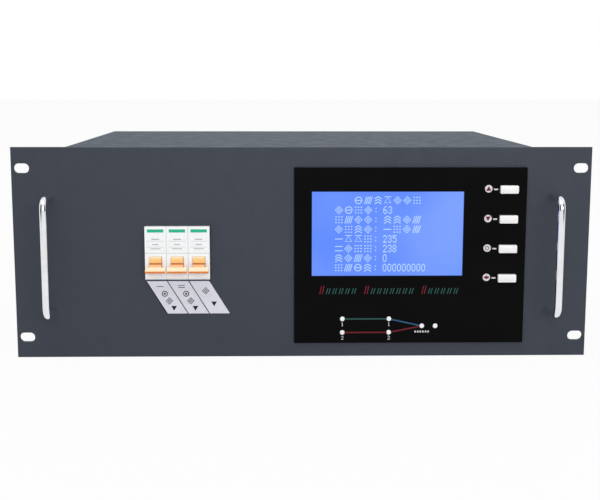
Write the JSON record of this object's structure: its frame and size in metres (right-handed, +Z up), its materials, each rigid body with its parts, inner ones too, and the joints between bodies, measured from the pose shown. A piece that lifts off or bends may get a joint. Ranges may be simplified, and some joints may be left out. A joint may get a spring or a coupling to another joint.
{
  "type": "rack static transfer switch",
  "caption": "Rack-mounted static transfer switch with breaker levers, a display with keys, bow handles, a thyristor stage on a heatsink and fans at the back.",
  "frame": {"origin": "centre of the four rack slots, on the back face of the front panel", "axes": "+X right along the panel, +Y to the back of the chassis, +Z up"},
  "size_m": [0.4826, 0.478, 0.1778],
  "materials": {
    "panel_paint": "fine-textured powder coat, blue grey",
    "cover_paint": "fine-textured powder coat, grey",
    "chrome": "polished",
    "zinc_hardware": "zinc plated",
    "gloss_black": "high gloss sheet",
    "screen": "lit blue screen",
    "bezel_steel": "black stamped steel",
    "white_plastic": "light guide",
    "key_white": "satin key cap",
    "lamp_lens": "milky lens",
    "circuit_board": "solder mask",
    "black_plastic": "moulded",
    "case_white": "moulded, satin",
    "lever_orange": "moulded, satin",
    "label": "printed film",
    "aluminium": "extruded, plain",
    "copper": "plain copper bar",
    "capacitor_sleeve": "shrink sleeve",
    "relay_blue": "moulded",
    "core_steel": "laminated steel",
    "winding": "taped winding"
  },
  "bodies": {
    "chassis": {"front_panel": "panel_paint", "chassis_tray": "cover_paint", "top_cover": "cover_paint", "rear_panel": "cover_paint", "handle_left": "chrome", "handle_right": "chrome", "handle_screws": "zinc_hardware", "case_screws": "zinc_hardware", "earth_stud": "zinc_hardware", "panel_studs": "zinc_hardware", "display_overlay": "gloss_black", "lcd_glass": "screen", "lcd_backlight": "white_plastic", "lcd_bezel": "bezel_steel", "lcd_board": "circuit_board", "panel_spacers": "zinc_hardware", "keypad_board": "circuit_board", "key_switches": "black_plastic", "status_lamps": "lamp_lens", "lamp_board": "circuit_board", "breaker_1": "case_white", "breaker_2": "case_white", "breaker_3": "case_white", "breaker_clamp_screws": "zinc_hardware", "din_rail": "zinc_hardware", "rail_bracket": "zinc_hardware", "rail_screws": "zinc_hardware", "label_strip": "label", "heatsink": "aluminium", "thyristor_1": "black_plastic", "thyristor_2": "black_plastic", "thyristor_3": "black_plastic", "thyristor_4": "black_plastic", "line_bar": "copper", "neutral_bar": "copper", "input_links": "copper", "power_screws": "zinc_hardware", "current_sensor": "black_plastic", "control_board": "circuit_board", "board_pillars": "zinc_hardware", "board_capacitors": "capacitor_sleeve", "board_relays": "relay_blue", "floor_screws": "zinc_hardware", "transformer_core": "core_steel", "transformer_coil": "winding", "fan_frame_1": "black_plastic", "fan_frame_2": "black_plastic", "fan_screws": "zinc_hardware", "terminal_block": "black_plastic", "terminal_clamps": "zinc_hardware", "serial_socket": "zinc_hardware"},
    "button_1": {"button_1": "key_white"},
    "button_2": {"button_2": "key_white"},
    "button_3": {"button_3": "key_white"},
    "button_4": {"button_4": "key_white"},
    "breaker_lever_1": {"breaker_lever_1": "lever_orange"},
    "breaker_lever_2": {"breaker_lever_2": "lever_orange"},
    "breaker_lever_3": {"breaker_lever_3": "lever_orange"},
    "fan_rotor_1": {"fan_rotor_1": "black_plastic"},
    "fan_rotor_2": {"fan_rotor_2": "black_plastic"}
  },
  "joints": [
    {"name": "button_1_press", "type": "slide", "parent": "chassis", "child": "button_1", "axis": [0, 1, 0], "range_m": [0, 0.0008], "stiffness_N_per_m": 1000, "springref_m": -0.0008},
    {"name": "button_2_press", "type": "slide", "parent": "chassis", "child": "button_2", "axis": [0, 1, 0], "range_m": [0, 0.0008], "stiffness_N_per_m": 1000, "springref_m": -0.0008},
    {"name": "button_3_press", "type": "slide", "parent": "chassis", "child": "button_3", "axis": [0, 1, 0], "range_m": [0, 0.0008], "stiffness_N_per_m": 1000, "springref_m": -0.0008},
    {"name": "button_4_press", "type": "slide", "parent": "chassis", "child": "button_4", "axis": [0, 1, 0], "range_m": [0, 0.0008], "stiffness_N_per_m": 1000, "springref_m": -0.0008},
    {"name": "lever_1_switch", "type": "hinge", "parent": "chassis", "child": "breaker_lever_1", "pos_m": [-0.1226, -0.004, -0.007], "axis": [-1, 0, 0], "range_deg": [0, 56]},
    {"name": "lever_2_switch", "type": "hinge", "parent": "chassis", "child": "breaker_lever_2", "pos_m": [-0.1046, -0.004, -0.007], "axis": [-1, 0, 0], "range_deg": [0, 56]},
    {"name": "lever_3_switch", "type": "hinge", "parent": "chassis", "child": "breaker_lever_3", "pos_m": [-0.0866, -0.004, -0.007], "axis": [-1, 0, 0], "range_deg": [0, 56]},
    {"name": "fan_1_spin", "type": "hinge", "parent": "chassis", "child": "fan_rotor_1", "pos_m": [-0.046, 0.413, -0.0347], "axis": [0, 1, 0], "continuous": true},
    {"name": "fan_2_spin", "type": "hinge", "parent": "chassis", "child": "fan_rotor_2", "pos_m": [0.046, 0.413, -0.0347], "axis": [0, 1, 0], "continuous": true}
  ]
}
